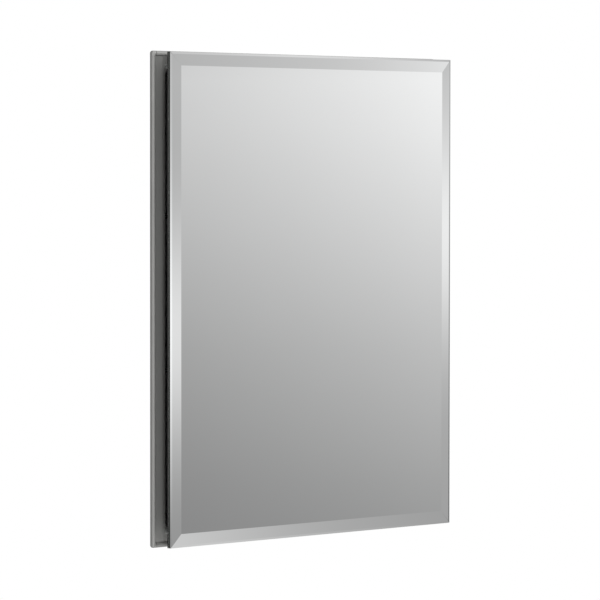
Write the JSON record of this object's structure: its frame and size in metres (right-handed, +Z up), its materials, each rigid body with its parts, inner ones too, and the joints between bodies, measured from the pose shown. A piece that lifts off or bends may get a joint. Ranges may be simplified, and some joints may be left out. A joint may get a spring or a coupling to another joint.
{
  "type": "medicine cabinet with mirror",
  "caption": "Recessed medicine cabinet with a bevelled mirror door on offset pivot hinges, metal trim, glass shelves on pins and a magnetic catch",
  "frame": {"origin": "centre of the rear face of the back panel, which is also the centre of its four wall screw holes", "axes": "+X right as seen from the room, +Y into the wall, +Z up; the mirror faces -Y"},
  "size_m": [0.409, 0.123, 0.511],
  "materials": {
    "mirror_glass": "silvered float glass, polished bevel",
    "inner_mirror_glass": "silvered float glass, ground edge",
    "black_tape": "black foam mounting tape",
    "backing_sheet": "dark grey painted steel sheet",
    "trim_aluminium": "satin anodised extrusion",
    "tub_aluminium": "satin anodised sheet",
    "frame_aluminium": "satin anodised extrusion",
    "cast_keys": "die-cast corner keys",
    "rivet_aluminium": "plain rivets",
    "nylon": "natural nylon",
    "white_plastic": "moulded white plastic",
    "magnet": "ferrite magnet between steel poles",
    "clear_rubber": "translucent soft bumper",
    "screw_steel": "zinc-plated steel screws",
    "pin_steel": "bright steel",
    "hinge_steel": "nickel-plated steel",
    "shelf_glass": "clear tempered glass, polished edges"
  },
  "bodies": {
    "cabinet": {"left_side_panel": "tub_aluminium", "right_side_panel": "tub_aluminium", "top_panel": "tub_aluminium", "bottom_panel": "tub_aluminium", "back_panel": "tub_aluminium", "trim_left": "trim_aluminium", "trim_right": "trim_aluminium", "trim_top": "trim_aluminium", "trim_bottom": "trim_aluminium", "trim_rivets": "rivet_aluminium", "back_rivets": "rivet_aluminium", "panel_screws": "screw_steel", "shelf_upper": "shelf_glass", "shelf_lower": "shelf_glass", "shelf_pins_upper": "pin_steel", "shelf_pins_lower": "pin_steel", "hinge_leaf_upper": "hinge_steel", "hinge_leaf_lower": "hinge_steel", "hinge_leaf_screws": "screw_steel", "catch_body": "white_plastic", "catch_magnet": "magnet", "catch_screws": "screw_steel", "corner_bumpers": "clear_rubber"},
    "door": {"mirror_front": "mirror_glass", "mirror_tape": "black_tape", "door_backing": "backing_sheet", "door_frame_left": "frame_aluminium", "door_frame_right": "frame_aluminium", "door_frame_top": "frame_aluminium", "door_frame_bottom": "frame_aluminium", "door_frame_keys": "cast_keys", "mirror_inner": "inner_mirror_glass", "hinge_bracket_upper": "hinge_steel", "hinge_bracket_lower": "hinge_steel", "hinge_pin_upper": "pin_steel", "hinge_pin_lower": "pin_steel", "hinge_washer_upper": "nylon", "hinge_washer_lower": "nylon", "hinge_bracket_screws": "screw_steel", "strike_plate": "hinge_steel", "strike_screws": "screw_steel"}
  },
  "joints": [
    {"name": "door_hinge", "type": "hinge", "parent": "cabinet", "child": "door", "pos_m": [0.196, -0.11, 0], "axis": [0, 0, 1], "range_deg": [0, 110]}
  ]
}
